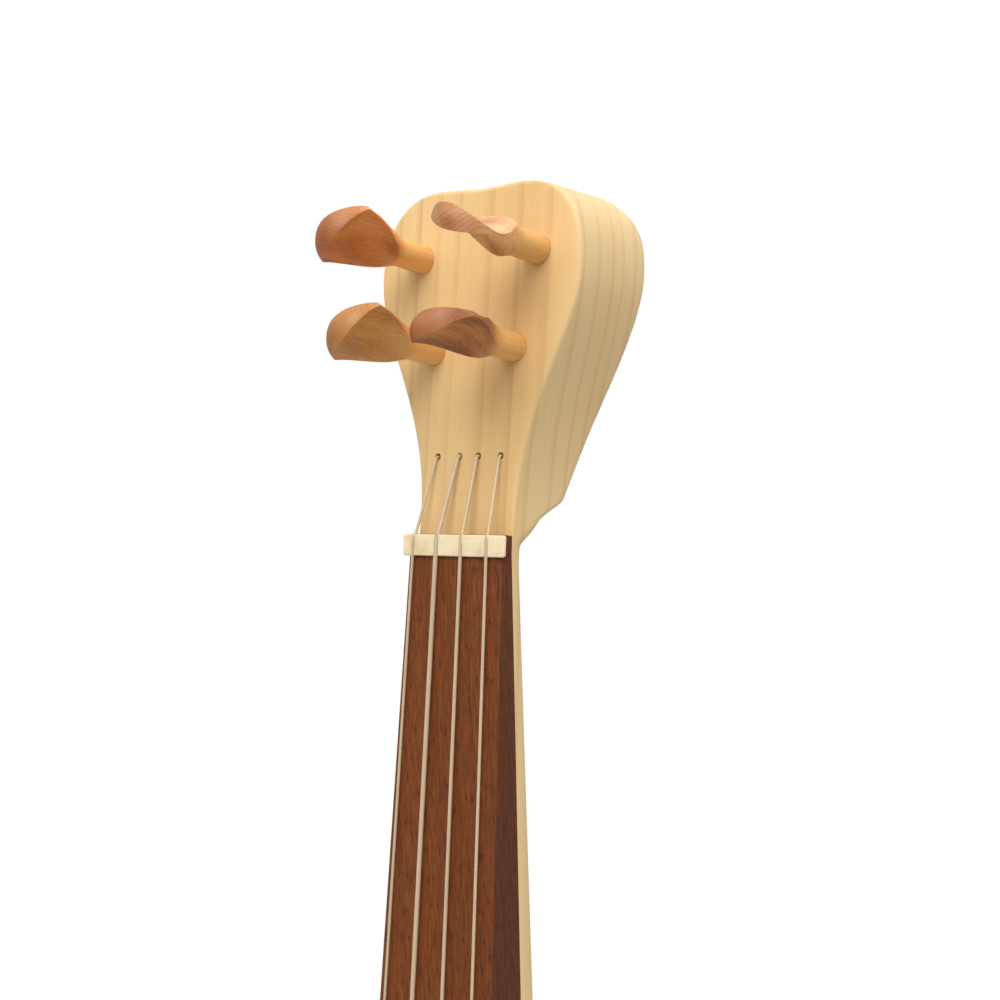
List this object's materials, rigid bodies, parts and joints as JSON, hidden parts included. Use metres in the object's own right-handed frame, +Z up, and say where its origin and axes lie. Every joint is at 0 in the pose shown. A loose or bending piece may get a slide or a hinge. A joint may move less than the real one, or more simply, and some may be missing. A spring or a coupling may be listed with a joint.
{
  "type": "pipa",
  "caption": "Pear-shaped fretless lute with a hollow leaning head, carved friction pegs standing out of its front, bone nut, wedge fingerboard, tall bridge and tailpiece.",
  "frame": {"origin": "middle of the end button's flat end, the lowest point of the instrument", "axes": "+Z up the neck towards the head, -Y out of the front where the strings lie, +X to the right of a viewer who faces the strings"},
  "size_m": [0.216, 0.1043, 0.687],
  "materials": {
    "pale_wood": "thin satin oil on pale maple",
    "soundboard_wood": "satin spruce",
    "inner_wood": "bare spruce",
    "bridge_wood": "bare maple",
    "dark_wood": "oiled brown rosewood",
    "peg_wood": "oiled reddish fruitwood, paler on the shafts",
    "bone": "polished bone",
    "nylon": "translucent whitish nylon",
    "gut": "amber gut"
  },
  "bodies": {
    "instrument": {"neck_and_head": "pale_wood", "fingerboard": "dark_wood", "nut": "bone", "string_1": "nylon", "string_2": "nylon", "string_3": "nylon", "string_4": "nylon", "string_knot_1": "nylon", "string_knot_2": "nylon", "string_knot_3": "nylon", "string_knot_4": "nylon", "back_shell": "pale_wood", "soundboard": "soundboard_wood", "neck_block": "inner_wood", "end_block": "inner_wood", "lining_left": "inner_wood", "lining_right": "inner_wood", "brace_upper": "inner_wood", "brace_lower": "inner_wood", "bass_bar": "inner_wood", "sound_post": "inner_wood", "bridge": "bridge_wood", "tailpiece": "dark_wood", "tail_gut": "gut", "saddle": "bone", "end_button": "dark_wood"},
    "tuner_lower_left": {"peg_lower_left": "peg_wood", "string_winding_1": "nylon"},
    "tuner_upper_left": {"peg_upper_left": "peg_wood", "string_winding_2": "nylon"},
    "tuner_upper_right": {"peg_upper_right": "peg_wood", "string_winding_3": "nylon"},
    "tuner_lower_right": {"peg_lower_right": "peg_wood", "string_winding_4": "nylon"}
  },
  "joints": [
    {"name": "tune_lower_left", "type": "hinge", "parent": "instrument", "child": "tuner_lower_left", "pos_m": [-0.01575, -0.01889, 0.6342], "axis": [0, -0.9969, 0.0781], "continuous": true},
    {"name": "tune_upper_left", "type": "hinge", "parent": "instrument", "child": "tuner_upper_left", "pos_m": [-0.0222, -0.0165, 0.66471], "axis": [0, -0.9969, 0.0781], "continuous": true},
    {"name": "tune_upper_right", "type": "hinge", "parent": "instrument", "child": "tuner_upper_right", "pos_m": [0.0231, -0.01656, 0.66401], "axis": [0, -0.9969, 0.0781], "continuous": true},
    {"name": "tune_lower_right", "type": "hinge", "parent": "instrument", "child": "tuner_lower_right", "pos_m": [0.0157, -0.01892, 0.6339], "axis": [0, -0.9969, 0.0781], "continuous": true}
  ]
}
